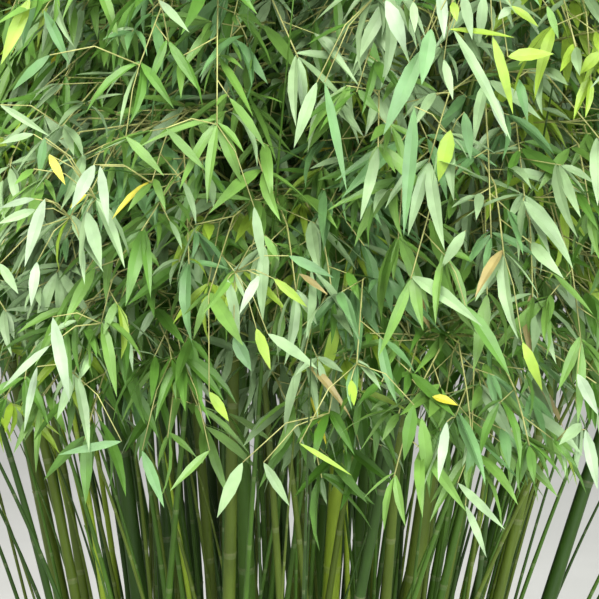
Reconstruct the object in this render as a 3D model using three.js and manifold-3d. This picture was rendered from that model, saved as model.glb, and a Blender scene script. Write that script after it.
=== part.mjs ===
// A tall clumping bamboo in a plain clay pot, as a standing solid model in millimetres, +Z up.
// The origin is the centre of the pot's flat underside, and -Y is the side that faces the viewer.
// Every culm is one tapering cane, cut flat where it stands on the soil. Each leading cane ends where
// its foliage begins, and that mass is one solid: the cane's thin top with its branches and leaves.
// The lesser canes between them are whole, and each has slimmer shoots that spring from its foot.
import * as THREE from "three";
import { mergeVertices } from "three/addons/utils/BufferGeometryUtils.js";
import Module from "manifold-3d";

const wasm = await Module();
wasm.setup();

// The pot: a tapered tub with a thick rolled rim.
const POT_HEIGHT = 520;
const POT_FOOT_RADIUS = 236;
const POT_SHOULDER_RADIUS = 312;
const POT_WALL = 20;
const POT_FLOOR = 26;
const POT_SIDES = 40;
const FOOT_BEVEL = 6;
const RIM_HEIGHT = 64;
const RIM_STEP = 16;
const RIM_ROUND = 12;
const RIM_ROUND_STEPS = 4;
const RIM_UNDERSIDE_RISE = 10;
const RIM_UNDERSIDE_BEVEL = 4;

// The soil stops below the rim, and its top is where every culm is cut flat.
const SOIL_DROP = 48;
const SOIL_TOP = POT_HEIGHT - SOIL_DROP;
const TOUCH_GAP = 0.3;

// The clump: canes set out in a spiral, leaning outwards the further out they stand. Every second
// cane is a leading one that carries foliage to the crown's outside.
const CULM_COUNT = 38;
const LEADER_EVERY = 2;
const CLUMP_RADIUS = 252;
const LEADER_LENGTH = 2860;
const LEADER_SHORTEST = 0.72;
const LESSER_LENGTH = 2080;
const LESSER_SHORTEST = 0.8;
const LESSER_LEAN = 0.75;
const SHORTER_OUTSIDE = 0.6;
const CULM_THIN = 8;
const CULM_THICK = 15.5;
const CULM_SIDES = 5;
const LEADER_STEPS = 3;
const LESSER_STEPS = 4;
const STEP_CROWDING = 0.7;
const CULM_TIP_SHARE = 0.14;
const FOOT_FLARE = 0.35;
const FOOT_FLARE_LENGTH = 34;
const FOOT_RING_HEIGHT = 45;
const LEAN_INNER = 0.03;
const LEAN_OUTER = 0.21;
const LEAN_SPREAD = 0.6;
const TURN_SPREAD = 1.2;
const LEAN_DRIFT = 0.03;
const ARCH_REACH = 150;
const ARCH_INNER = 0.35;
const ARCH_LEAST = 0.6;
const ARCH_MOST = 1.2;
const ARCH_SAG = 0.05;
const CULM_SEED = 660;
const GOLDEN_ANGLE = Math.PI * (3 - Math.sqrt(5));

// The shoots beside each lesser cane: their sizes as shares of that cane's, and how clear they stay.
const SHOOTS_PER_CANE = 2;
const SHOOT_STEPS = 3;
const SHOOT_THIN = 5;
const SHOOT_THICK = 9;
const SHOOT_FOOT_STEP = 1.3;
const SHOOT_TURN = 1.6;
const SHOOT_LEAN_LEAST = 0.3;
const SHOOT_LEAN_MOST = 1.6;
const SHOOT_SHORTEST = 0.74;
const SHOOT_LONGEST = 0.95;
const SHOOT_FUSED_SHARE = 0.1;
const SHOOT_CLEARANCE = 8;
const SHOOT_TRIES = 90;
const SHOOT_CHECKS = 80;

// The crown: the height above the soil where foliage begins on a cane, how low it may hang, and how
// far it reaches from its own cane at the crown's foot and at its top.
const CROWN_FOOT_LOW = 1080;
const CROWN_FOOT_HIGH = 1300;
const HANG_LOWEST = 900;
const REACH_BELOW = 430;
const REACH_ABOVE = 320;
const SPACE_MARGIN = 3;
const LIMB_CLEARANCE = 3;
const SAMPLE_STEP = 18;

// The branches of a foliage mass: they leave the cane's top all round, and droop towards their ends.
const TOP_STEPS = 3;
const BRANCHES_PER_MASS = 8;
const BRANCH_LOWEST = 0.04;
const BRANCH_HIGHEST = 0.88;
const BRANCH_LONGEST = 380;
const BRANCH_SHORTEST = 170;
const BRANCH_LEAST = 0.8;
const BRANCH_MOST = 1.1;
const BRANCH_RISE = 0.8;
const BRANCH_DROOP = 0.28;
const BRANCH_RADIUS = 3.2;
const BRANCH_TIP_SHARE = 0.5;
const BRANCH_SIDES = 3;
const BRANCH_STEPS = 2;
const BRANCH_TRIES = 16;
const TRY_SHRINK = 0.04;

// The leaves: each is larger than life and stands for a spray of small ones.
const LEAVES_PER_BRANCH = 4;
const FIRST_LEAF = 0.42;
const LAST_LEAF = 0.985;
const LEAVES_AT_TIP = 2;
const TIP_LEAF_STEP = 0.012;
const TIP_LEAF_SLANT = 0.8;
const LEAF_LENGTH = 310;
const LEAF_WIDTH = 86;
const LEAF_THICKNESS = 5;
const LEAF_WIDEST = 0.36;
const LEAF_LEAST = 0.82;
const LEAF_MOST = 1.12;
const LEAF_SLANT_LEAST = 0.5;
const LEAF_SLANT_MOST = 0.95;
const LEAF_FALL = 0.1;
const LEAF_TRY_FALL = 0.28;
const LEAF_DROOP_LEAST = 0.4;
const LEAF_DROOP_MOST = 1.3;
const LEAF_ROOT_SINK = 10;
const LEAF_TURN = 1.2;
const LEAF_TRIES = 10;

// A fused solid's edges below this length are tidied away, and its corners this near are one.
const TIDY_TOLERANCE = 0.05;
const MERGE_DISTANCE = 0.001;

const UP = new THREE.Vector3(0, 0, 1);
const SIDEWAYS = new THREE.Vector3(1, 0, 0);

// A number from 0 to 1 that depends only on its keys, so every run grows the same plant.
function roll(...keys) {
  const mixed = keys.reduce((sum, key, place) => sum + (key + 1) * (12.9898 + 31.4159 * place), 0);
  const wave = Math.sin(mixed) * 43758.5453;
  return wave - Math.floor(wave);
}

function mix(low, high, share) {
  return low + (high - low) * share;
}

function material(colour, roughness) {
  return new THREE.MeshStandardMaterial({ color: colour, roughness, metalness: 0 });
}

// The closed surface of a geometry with its shared corners merged.
function closedSurface(geometry) {
  geometry.deleteAttribute("normal");
  geometry.deleteAttribute("uv");
  return mergeVertices(geometry, MERGE_DISTANCE);
}

function solidFrom(geometry) {
  const surface = closedSurface(geometry);
  return new wasm.Manifold(
    new wasm.Mesh({
      numProp: 3,
      vertProperties: new Float32Array(surface.attributes.position.array),
      triVerts: new Uint32Array(surface.index.array),
    }),
  );
}

function geometryFrom(solid) {
  const mesh = solid.getMesh();
  return new THREE.BufferGeometry()
    .setAttribute("position", new THREE.BufferAttribute(new Float32Array(mesh.vertProperties), 3))
    .setIndex(new THREE.BufferAttribute(new Uint32Array(mesh.triVerts), 1));
}

// A cylinder bent along a curve. Its rings sit at the stations, and radiusAt gives each ring's radius.
function limbGeometry(curve, radiusAt, sides, stations, flatFoot = false) {
  const rings = stations.length - 1;
  const geometry = new THREE.CylinderGeometry(1, 1, rings, sides, rings);
  const chord = curve.getPoint(1).sub(curve.getPoint(0)).normalize();
  const reference = Math.abs(chord.dot(UP)) > 0.8 ? SIDEWAYS : UP;
  const position = geometry.attributes.position;
  for (let n = 0; n < position.count; n += 1) {
    const ring = Math.round(position.getY(n) + rings / 2);
    const t = stations[ring];
    const tangent = flatFoot && ring === 0 ? UP : curve.getTangent(t);
    const across = new THREE.Vector3().crossVectors(tangent, reference).normalize();
    const other = new THREE.Vector3().crossVectors(across, tangent);
    const radius = radiusAt(t);
    const placed = curve
      .getPoint(t)
      .addScaledVector(across, position.getX(n) * radius)
      .addScaledVector(other, position.getZ(n) * radius);
    position.setXYZ(n, placed.x, placed.y, placed.z);
  }
  return geometry;
}

// One cane's line: it leaves the soil with its lean, and its top arches over and sags.
class CulmCurve extends THREE.Curve {
  constructor(foot, heading, lean, length, arch) {
    super();
    Object.assign(this, { foot, heading, lean, length, arch });
  }

  getPoint(t, target = new THREE.Vector3()) {
    const out = this.lean * this.length * t + this.arch * t ** 3;
    const rise = this.length * (t - ARCH_SAG * t ** 4);
    return target.set(
      this.foot.x + this.heading.x * out + LEAN_DRIFT * rise,
      this.foot.y + this.heading.y * out,
      SOIL_TOP + TOUCH_GAP + rise,
    );
  }
}

function makeCulm(index) {
  const isLeader = index % LEADER_EVERY === 0;
  const share = Math.sqrt((index + 0.5) / CULM_COUNT);
  const bearing = index * GOLDEN_ANGLE;
  const heading = bearing + (roll(CULM_SEED, index, 1) - 0.5) * TURN_SPREAD;
  const slant = mix(LEAN_INNER, LEAN_OUTER, share) * (1 + (roll(CULM_SEED, index, 2) - 0.5) * LEAN_SPREAD);
  const [longest, shortest] = isLeader ? [LEADER_LENGTH, LEADER_SHORTEST] : [LESSER_LENGTH, LESSER_SHORTEST];
  const shortness = mix(roll(CULM_SEED, index, 3), share ** 2, SHORTER_OUTSIDE);
  const curve = new CulmCurve(
    new THREE.Vector2(Math.cos(bearing), Math.sin(bearing)).multiplyScalar(CLUMP_RADIUS * share),
    new THREE.Vector2(Math.cos(heading), Math.sin(heading)),
    isLeader ? slant : slant * LESSER_LEAN,
    longest * mix(1, shortest, shortness),
    ARCH_REACH * mix(ARCH_INNER, 1, share) * mix(ARCH_LEAST, ARCH_MOST, roll(CULM_SEED, index, 5)),
  );
  const crownFoot = mix(CROWN_FOOT_LOW, CROWN_FOOT_HIGH, roll(CULM_SEED, index, 6));
  return {
    curve,
    isLeader,
    radius: mix(CULM_THIN, CULM_THICK, roll(CULM_SEED, index, 4)),
    crownFrom: isLeader ? crownFoot / curve.length : 1,
  };
}

// A cane is nearly even below and thins to a whip above, with a slight flare at its foot.
function culmRadiusAt(culm, t) {
  const taper = mix(CULM_TIP_SHARE, 1, (1 - t ** 1.6) ** 1.1);
  const flare = FOOT_FLARE * Math.exp((-t * culm.curve.length) / FOOT_FLARE_LENGTH);
  return culm.radius * (taper + flare);
}

// The point of a cane beside some point: at the same height, or the cane's tip for a point above it.
function besidePoint(culm, point) {
  const share = (point.z - SOIL_TOP) / culm.curve.length;
  let t = share;
  for (let pass = 0; pass < 4; pass += 1) t = Math.min(1, share + ARCH_SAG * t ** 4);
  return { t, point: culm.curve.getPoint(t) };
}

// True where a shoot is clear of another cane from some share of its length to its tip.
function isClearOf(shoot, other, from) {
  return Array.from({ length: SHOOT_CHECKS }, (_, n) => mix(from, 1, n / (SHOOT_CHECKS - 1))).every((t) => {
    const point = shoot.curve.getPoint(t);
    const beside = besidePoint(other, point);
    const clearance = culmRadiusAt(shoot, t) + culmRadiusAt(other, beside.t) + SHOOT_CLEARANCE;
    return beside.point.distanceTo(point) > clearance;
  });
}

// The slim shoots from the foot of a cane: the first tries that are clear of every other cane.
function makeShoots(culm, index, others) {
  const { foot, heading, lean, length, arch } = culm.curve;
  const shoots = [];
  for (let pass = 0; pass < SHOOT_TRIES && shoots.length < SHOOTS_PER_CANE; pass += 1) {
    const chance = (key) => roll(CULM_SEED, index, pass, key);
    const bearing = 2 * Math.PI * chance(1);
    const turn = heading.angle() + mix(-SHOOT_TURN, SHOOT_TURN, chance(2));
    const step = new THREE.Vector2(Math.cos(bearing), Math.sin(bearing));
    const curve = new CulmCurve(
      foot.clone().addScaledVector(step, culm.radius * SHOOT_FOOT_STEP),
      new THREE.Vector2(Math.cos(turn), Math.sin(turn)),
      lean * mix(SHOOT_LEAN_LEAST, SHOOT_LEAN_MOST, chance(3)),
      length * mix(SHOOT_SHORTEST, SHOOT_LONGEST, chance(4)),
      arch,
    );
    const shoot = { curve, isLeader: false, radius: mix(SHOOT_THIN, SHOOT_THICK, chance(5)), crownFrom: 1 };
    const isInPot = curve.foot.length() < CLUMP_RADIUS;
    const isOffItsKin = [culm, ...shoots].every((kin) => isClearOf(shoot, kin, SHOOT_FUSED_SHARE));
    if (isInPot && isOffItsKin && others.every((other) => isClearOf(shoot, other, 0))) shoots.push(shoot);
  }
  return shoots;
}

function distanceBeside(culm, point) {
  return besidePoint(culm, point).point.distanceTo(point);
}

// True where a ball of some radius is inside the leading cane's own space: near enough to that cane,
// nearer to it than to any other leading cane, and not below the crown.
function isInSpace(point, radius, leader, canes) {
  const height = point.z - SOIL_TOP;
  const rise = (height / leader.curve.length - leader.crownFrom) / (1 - leader.crownFrom);
  const reach = mix(REACH_BELOW, REACH_ABOVE, Math.min(1, Math.max(0, rise)));
  const own = distanceBeside(leader, point);
  const room = radius + SPACE_MARGIN;
  if (height < HANG_LOWEST + room || own > reach - room) return false;
  return canes.every(
    (culm) => !culm.isLeader || culm === leader || distanceBeside(culm, point) > own + 2 * room,
  );
}

function isOffCanes(point, radius, leader, canes) {
  return canes.every((culm) => {
    if (culm === leader) return true;
    const beside = besidePoint(culm, point);
    const clearance = radius + culmRadiusAt(culm, beside.t) + LIMB_CLEARANCE;
    return beside.point.distanceTo(point) > clearance;
  });
}

// True where a line of some thickness stays in its cane's space and off every other cane.
function isFree(curve, from, radius, leader, canes) {
  const count = Math.ceil(curve.getLength() / SAMPLE_STEP) + 1;
  const points = Array.from({ length: count }, (_, n) => curve.getPoint(mix(from, 1, n / (count - 1))));
  return points.every(
    (point) => isInSpace(point, radius, leader, canes) && isOffCanes(point, radius, leader, canes),
  );
}

// A line of straight pieces. What grows on a limb starts from one, so that its root is in the solid.
function lineThrough(points) {
  const line = new THREE.CurvePath();
  points.slice(1).forEach((point, n) => line.add(new THREE.LineCurve3(points[n], point)));
  return line;
}

// A branch's line leaves the cane at a slant, turned round it by some angle, and droops to its end.
function branchLine(stem, t, angle, length) {
  const start = stem.getPoint(t);
  const side = new THREE.Vector3(Math.cos(angle), Math.sin(angle), 0);
  const heading = stem.getTangent(t).multiplyScalar(BRANCH_RISE).add(side).normalize();
  const bend = start.clone().addScaledVector(heading, length * 0.5);
  const end = bend.clone().addScaledVector(heading, length * 0.4).addScaledVector(UP, -length * BRANCH_DROOP);
  return new THREE.QuadraticBezierCurve3(start, bend, end);
}

// A leaf's line: from its root out along its heading, then drooping to its tip.
function leafLine(root, heading, length, droop) {
  const widest = root.clone().addScaledVector(heading, length * LEAF_WIDEST);
  const fall = heading.clone().addScaledVector(UP, -droop).normalize();
  const tip = widest.clone().addScaledVector(fall, length * (1 - LEAF_WIDEST));
  return lineThrough([root, widest, tip]);
}

// A blade of six faces, turned about its length: a flat underside, and a low ridge at its widest.
function leafGeometry(line, width, turn) {
  const [{ v1: root, v2: widest }, { v2: tip }] = line.curves;
  const along = tip.clone().sub(root).normalize();
  const edge = new THREE.Vector3().crossVectors(UP, along);
  if (edge.length() < 0.05) edge.copy(SIDEWAYS);
  edge.normalize().applyAxisAngle(along, turn);
  const left = widest.clone().addScaledVector(edge, width / 2);
  const right = widest.clone().addScaledVector(edge, -width / 2);
  const ridge = widest.clone().addScaledVector(along.cross(edge), LEAF_THICKNESS);
  return new THREE.BufferGeometry()
    .setFromPoints([root, left, ridge, right, tip])
    .setIndex([0, 2, 1, 0, 3, 2, 4, 1, 2, 4, 2, 3, 0, 1, 3, 4, 3, 1]);
}

// One leaf at a place on a twig, or nothing where every try would leave the space or touch a cane.
function makeLeaf(twig, t, slant, keys, leader, canes) {
  const along = twig.getTangent(t);
  const side = new THREE.Vector3().crossVectors(along, UP).normalize();
  const root = twig.getPoint(t).addScaledVector(along, -LEAF_ROOT_SINK);
  for (let pass = 0; pass < LEAF_TRIES; pass += 1) {
    const fall = LEAF_FALL + LEAF_TRY_FALL * pass * roll(...keys, pass, 1);
    const heading = along.clone().addScaledVector(side, slant).addScaledVector(UP, -fall).normalize();
    const size = mix(LEAF_LEAST, LEAF_MOST, roll(...keys, pass, 2)) * (1 - TRY_SHRINK * pass);
    const droop = mix(LEAF_DROOP_LEAST, LEAF_DROOP_MOST, roll(...keys, pass, 3));
    const line = leafLine(root, heading, LEAF_LENGTH * size, droop);
    if (isFree(line, 0.1, (LEAF_WIDTH * size) / 2, leader, canes)) {
      const bladeTurn = mix(-LEAF_TURN, LEAF_TURN, roll(...keys, 4));
      return [solidFrom(leafGeometry(line, LEAF_WIDTH * size, bladeTurn))];
    }
  }
  return [];
}

// The leaves of one branch, to its left and right by turns, and the last one straight on.
function makeLeaves(branch, keys, leader, canes) {
  return Array.from({ length: LEAVES_PER_BRANCH }, (_, n) => {
    const isLast = n === LEAVES_PER_BRANCH - 1;
    const t = mix(FIRST_LEAF, LAST_LEAF, n / (LEAVES_PER_BRANCH - 1));
    const slant = isLast ? 0 : (n % 2 ? -1 : 1) * mix(LEAF_SLANT_LEAST, LEAF_SLANT_MOST, roll(...keys, n, 1));
    return makeLeaf(branch, t, slant, [...keys, n], leader, canes);
  }).flat();
}

// One branch with its leaves: the first of several tries that stays in the space and bears two leaves.
function makeBranch(stem, n, number, leader, canes) {
  const share = n / (BRANCHES_PER_MASS - 1);
  const stations = evenStations(0, 1, BRANCH_STEPS);
  for (let pass = 0; pass < BRANCH_TRIES; pass += 1) {
    const keys = [number, n, pass];
    const angle = n * GOLDEN_ANGLE + number + (roll(...keys, 0) - 0.5) * (1 + pass * 0.5);
    const size = mix(BRANCH_LEAST, BRANCH_MOST, roll(...keys, 1)) * (1 - TRY_SHRINK * pass);
    const length = mix(BRANCH_LONGEST, BRANCH_SHORTEST, share) * size;
    const curve = branchLine(stem, mix(BRANCH_LOWEST, BRANCH_HIGHEST, share), angle, length);
    const line = lineThrough(stations.map((t) => curve.getPoint(t)));
    const leaves = isFree(line, 0, BRANCH_RADIUS, leader, canes) ? makeLeaves(line, keys, leader, canes) : [];
    if (leaves.length > 1) {
      const radiusAt = (t) => BRANCH_RADIUS * mix(1, BRANCH_TIP_SHARE, t);
      return [solidFrom(limbGeometry(curve, radiusAt, BRANCH_SIDES, stations)), ...leaves];
    }
  }
  return [];
}

// The largest closed body, without loose scraps or sealed hollows.
function mainBody(solid) {
  return solid.decompose().reduce((best, body) => (body.volume() > best.volume() ? body : best));
}

// Short edges are tidied away and near corners merged, and what that parts from the body is dropped.
function tidied(solid) {
  return mainBody(solidFrom(geometryFrom(mainBody(solid.simplify(TIDY_TOLERANCE)))));
}

function evenStations(from, to, steps) {
  return Array.from({ length: steps + 1 }, (_, n) => mix(from, to, n / steps));
}

// A cane as it stands: whole, or up to where its foliage begins. Its rings crowd to its bending top.
function culmGeometry(culm, steps) {
  const footRing = FOOT_RING_HEIGHT / culm.curve.length;
  const rings = evenStations(0, 1, steps).map((share) => mix(footRing, culm.crownFrom, share ** STEP_CROWDING));
  const stations = [0, ...rings];
  return limbGeometry(culm.curve, (t) => culmRadiusAt(culm, t), CULM_SIDES, stations, true);
}

function makeMass(leader, number, canes) {
  const topFrom = leader.crownFrom + TOUCH_GAP / leader.curve.length;
  const topStations = evenStations(topFrom, 1, TOP_STEPS);
  const top = limbGeometry(leader.curve, (t) => culmRadiusAt(leader, t), CULM_SIDES, topStations);
  const stem = lineThrough(topStations.map((t) => leader.curve.getPoint(t)));
  const pieces = [solidFrom(top)];
  for (let n = 0; n < BRANCHES_PER_MASS; n += 1) {
    pieces.push(...makeBranch(stem, n, number, leader, canes));
  }
  for (let n = 0; n < LEAVES_AT_TIP; n += 1) {
    const slant = TIP_LEAF_SLANT * (n - (LEAVES_AT_TIP - 1) / 2);
    const keys = [number, BRANCHES_PER_MASS, n];
    pieces.push(...makeLeaf(stem, LAST_LEAF - TIP_LEAF_STEP * n, slant, keys, leader, canes));
  }
  return tidied(wasm.Manifold.union(pieces));
}

// A profile of [radius, height] pairs turned round the upright axis.
function turned(profile) {
  const points = profile.map(([radius, height]) => new THREE.Vector2(radius, height));
  return closedSurface(new THREE.LatheGeometry(points, POT_SIDES).rotateX(Math.PI / 2));
}

function potInnerRadius(height) {
  const slope = (POT_SHOULDER_RADIUS - POT_FOOT_RADIUS) / (POT_HEIGHT - RIM_HEIGHT);
  return POT_FOOT_RADIUS - POT_WALL + slope * Math.min(height, POT_HEIGHT - RIM_HEIGHT);
}

function makePot() {
  const rimOuter = POT_SHOULDER_RADIUS + RIM_STEP;
  const lip = evenStations(0, 1, RIM_ROUND_STEPS).map((share) => {
    const angle = (share * Math.PI) / 2;
    return [
      rimOuter - RIM_ROUND + RIM_ROUND * Math.cos(angle),
      POT_HEIGHT - RIM_ROUND + RIM_ROUND * Math.sin(angle),
    ];
  });
  const inner = potInnerRadius(POT_HEIGHT);
  return turned([
    [0, 0],
    [POT_FOOT_RADIUS - FOOT_BEVEL, 0],
    [POT_FOOT_RADIUS, FOOT_BEVEL],
    [POT_SHOULDER_RADIUS, POT_HEIGHT - RIM_HEIGHT],
    [rimOuter - RIM_UNDERSIDE_BEVEL, POT_HEIGHT - RIM_HEIGHT + RIM_UNDERSIDE_RISE / 3],
    [rimOuter, POT_HEIGHT - RIM_HEIGHT + RIM_UNDERSIDE_RISE],
    ...lip,
    [inner + RIM_ROUND / 2, POT_HEIGHT],
    [inner, POT_HEIGHT - RIM_ROUND / 2],
    [inner, POT_HEIGHT - RIM_HEIGHT],
    [potInnerRadius(POT_FLOOR), POT_FLOOR],
    [0, POT_FLOOR],
  ]);
}

function makeSoil() {
  const floor = POT_FLOOR + TOUCH_GAP;
  return turned([
    [0, floor],
    [potInnerRadius(floor) - 2 * TOUCH_GAP, floor],
    [potInnerRadius(POT_HEIGHT) - 2 * TOUCH_GAP, POT_HEIGHT - RIM_HEIGHT],
    [potInnerRadius(POT_HEIGHT) - 2 * TOUCH_GAP, SOIL_TOP],
    [0, SOIL_TOP],
  ]);
}

function named(name, geometry, finish) {
  const mesh = new THREE.Mesh(geometry, finish);
  mesh.name = name;
  return mesh;
}

const clay = material(0xa9603f, 0.85);
const compost = material(0x2e2118, 1);
const cane = material(0x5c7a32, 0.5);
const foliage = material(0x4f8a4a, 0.55);

const plant = new THREE.Group();
plant.add(named("pot", makePot(), clay));
plant.add(named("soil", makeSoil(), compost));

const culms = Array.from({ length: CULM_COUNT }, (_, index) => makeCulm(index));
const canes = [...culms];
const shootsOf = culms.map((culm, index) => {
  const others = canes.filter((other) => other !== culm);
  const shoots = culm.isLeader ? [] : makeShoots(culm, index, others);
  canes.push(...shoots);
  return shoots;
});

culms.forEach((culm, index) => {
  const number = String(index + 1).padStart(2, "0");
  const shoots = shootsOf[index].map((shoot) => solidFrom(culmGeometry(shoot, SHOOT_STEPS)));
  const stem = solidFrom(culmGeometry(culm, culm.isLeader ? LEADER_STEPS : LESSER_STEPS));
  const stems = wasm.Manifold.union([stem, ...shoots]);
  plant.add(named(`culm_${number}`, geometryFrom(tidied(stems)), cane));
  if (culm.isLeader) {
    plant.add(named(`foliage_${number}`, geometryFrom(makeMass(culm, index, canes)), foliage));
  }
});

export default plant;
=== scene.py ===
"""Looks for the potted bamboo: canes, twigs, leaves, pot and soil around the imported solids.

The canes, the branches and the spaces that the foliage keeps to follow the part's source: the same
named sizes, in millimetres, and the same rule. Where the source has one large leaf, a spray of
small leaves grows here, and finer branches fill the same spaces.
"""
import math
from dataclasses import dataclass

import bpy
import numpy as np
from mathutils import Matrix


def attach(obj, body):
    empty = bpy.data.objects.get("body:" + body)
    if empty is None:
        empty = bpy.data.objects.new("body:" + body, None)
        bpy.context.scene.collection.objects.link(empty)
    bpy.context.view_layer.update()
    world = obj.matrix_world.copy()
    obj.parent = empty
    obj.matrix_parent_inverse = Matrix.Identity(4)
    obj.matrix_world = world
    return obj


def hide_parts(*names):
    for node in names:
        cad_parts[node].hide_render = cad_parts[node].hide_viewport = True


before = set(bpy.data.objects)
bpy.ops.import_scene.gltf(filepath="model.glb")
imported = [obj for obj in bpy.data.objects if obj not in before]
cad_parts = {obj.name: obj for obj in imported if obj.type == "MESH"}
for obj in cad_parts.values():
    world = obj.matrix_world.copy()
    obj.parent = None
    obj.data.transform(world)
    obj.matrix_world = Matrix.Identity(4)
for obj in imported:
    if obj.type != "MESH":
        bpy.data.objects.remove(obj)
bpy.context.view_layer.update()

METRE = 0.001

# The pot and soil, as in the part's source.
POT_HEIGHT = 520
POT_FOOT_RADIUS = 236
POT_SHOULDER_RADIUS = 312
POT_WALL = 20
POT_FLOOR = 26
RIM_HEIGHT = 64
RIM_STEP = 16
RIM_ROUND = 12
FOOT_BEVEL = 6
SOIL_DROP = 48
SOIL_TOP = POT_HEIGHT - SOIL_DROP
TOUCH_GAP = 0.3

# The clump of canes, as in the part's source.
CULM_COUNT = 38
LEADER_EVERY = 2
CLUMP_RADIUS = 252
LEADER_LENGTH = 2860
LEADER_SHORTEST = 0.72
LESSER_LENGTH = 2080
LESSER_SHORTEST = 0.8
LESSER_LEAN = 0.75
SHORTER_OUTSIDE = 0.6
CULM_THIN = 8
CULM_THICK = 15.5
CULM_TIP_SHARE = 0.14
TAPER_FOOT_POWER = 1.6
TAPER_TIP_POWER = 1.1
FOOT_FLARE = 0.35
FOOT_FLARE_LENGTH = 34
LEAN_INNER = 0.03
LEAN_OUTER = 0.21
LEAN_SPREAD = 0.6
TURN_SPREAD = 1.2
LEAN_DRIFT = 0.03
ARCH_REACH = 150
ARCH_INNER = 0.35
ARCH_LEAST = 0.6
ARCH_MOST = 1.2
ARCH_SAG = 0.05
CULM_SEED = 660
GOLDEN_ANGLE = math.pi * (3 - math.sqrt(5))

# The shoots beside each lesser cane, as in the part's source: lengths are shares of the cane's own.
SHOOTS = dict(wanted=2, shortest=0.74, longest=0.95, thin=5, thick=9, foot_step=1.3, most_tries=90)
SHOOT_TURN = 1.6
SHOOT_LEAN = (0.3, 1.6)
SHOOT_FUSED_SHARE = 0.1
SHOOT_CLEARANCE = 8
SHOOT_CHECKS = 80

# The spaces that the foliage keeps to, as in the part's source.
CROWN_FOOT_LOW = 1080
CROWN_FOOT_HIGH = 1300
HANG_LOWEST = 900
REACH_BELOW = 430
REACH_ABOVE = 320
SPACE_MARGIN = 3
LIMB_CLEARANCE = 3
SAMPLE_STEP = 18

# Branches and the lines that sprays follow, as in the part's source.
BRANCHES_PER_MASS = 8
BRANCH_LOWEST = 0.04
BRANCH_HIGHEST = 0.88
BRANCH_LONGEST = 380
BRANCH_SHORTEST = 170
BRANCH_LEAST = 0.8
BRANCH_MOST = 1.1
BRANCH_RISE = 0.8
BRANCH_DROOP = 0.28
BRANCH_TO_BEND = 0.5
BRANCH_PAST_BEND = 0.4
BRANCH_RADIUS = 3.2
BRANCH_TRIES = 16
TRY_SHRINK = 0.04
TRY_TURN = 0.5
LEAVES_PER_BRANCH = 4
FIRST_LEAF = 0.42
LAST_LEAF = 0.985
LEAVES_AT_TIP = 2
TIP_LEAF_STEP = 0.012
TIP_LEAF_SLANT = 0.8
TOP_STEPS = 3
SPRAY_LENGTH = 310
SPRAY_WIDTH = 86
SPRAY_WIDEST = 0.36
SPRAY_LEAST = 0.82
SPRAY_MOST = 1.12
SLANT_LEAST = 0.5
SLANT_MOST = 0.95
FALL = 0.1
TRY_FALL = 0.28
DROOP_LEAST = 0.4
DROOP_MOST = 1.3
SPRAY_TRIES = 10
SPRAY_CHECKED_FROM = 0.1

# Slim shoots round the canes' feet, which the source leaves out. They bear no leaves.
SLIM_SHOOTS = dict(wanted=8, shortest=0.52, longest=0.78, thin=3.2, thick=6, foot_step=3.2, most_tries=200)
SLIM_KEY = 200

# The finer branches between the source's own ones.
FINER_KEY = 100
FINER_BRANCHES = 34
FINER_HIGHEST = 0.97
FINER_TURN = 2
FINER_LONGEST = 330
FINER_SHORTEST = 120
LESSER_BRANCHES = 20
LESSER_CROWN_LENGTH = 900
SHOOT_CROWN_LENGTH = 500
SHOOT_BRANCHES = 8
BRANCH_STATIONS = 5
BRANCH_RADII = (1.9, 0.9)
BRANCH_SIDES = 5

# A spray is a twig with fans of leaves to both sides. Radii are those at a line's two ends. Any other
# pair of numbers is the range of a length, an angle in radians, a slope or a share.
TWIG_STATIONS = 5
TWIG_RADII = (1.3, 0.85)
TWIG_SIDES = 3
FANS_PER_SPRAY = 4
FIRST_FAN = 0.24
FAN_REACH = 0.1
SIDE_FAN_FALL = 0.1
END_FAN_LIFT = 0.3
FAN_LEAVES = (2, 5)
TWIGLET_LENGTH = (18, 52)
TWIGLET_SLANT = (0.5, 1.3)
TWIGLET_LIFT = (-0.1, 0.55)
TWIGLET_RADII = (0.85, 0.65)
LEAF_LENGTH = 76
LEAF_WIDTH = 13
LEAF_SIZE = (0.42, 1.28)
LEAF_BREADTH = (0.8, 1.2)
LEAF_STEP = (1, 9)
FIRST_SPREAD = 0.2
LEAF_SPREAD = (0.4, 1.15)
LEAF_FALL = (-0.3, 0.85)
LEAF_ROLL = (-0.9, 0.9)
LEAF_BEND = (0.05, 1.0)
LEAF_BEND_POWER = 1.3
LEAF_FOLD = (0.1, 0.5)
LEAF_TWIST = (-0.6, 0.6)
HANGING = 0.85

# The viewer, in millimetres: where the camera stands, what it looks at, and its lens.
CAMERA_PLACE = np.array([45.0, -2700.0, 1950.0])
CAMERA_TARGET = np.array([45.0, -300.0, 1650.0])
CAMERA_LENS = 108
SENSOR_WIDTH = 36

UP = np.array([0.0, 0.0, 1.0])
TINY = 1e-9
FAR = 1e9
TANGENT_STEP = 1e-4
HEIGHT_STEPS = 4


def roll(*keys):
    """A number from 0 to 1 that depends only on its keys, the last of which tells draws apart."""
    mixed = sum((key + 1) * (12.9898 + 31.4159 * place) for place, key in enumerate(keys))
    wave = np.sin(mixed) * 43758.5453
    return wave - np.floor(wave)


def mix(low, high, share):
    return low + (high - low) * share


def pick(limits, *keys):
    """A number between two limits that depends only on its keys."""
    return mix(*limits, roll(*keys))


def unit(vector):
    return vector / np.maximum(np.linalg.norm(vector, axis=-1, keepdims=True), TINY)


FORWARD = unit(CAMERA_TARGET - CAMERA_PLACE)
RIGHT = unit(np.cross(FORWARD, UP))
ABOVE = np.cross(RIGHT, FORWARD)


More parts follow.
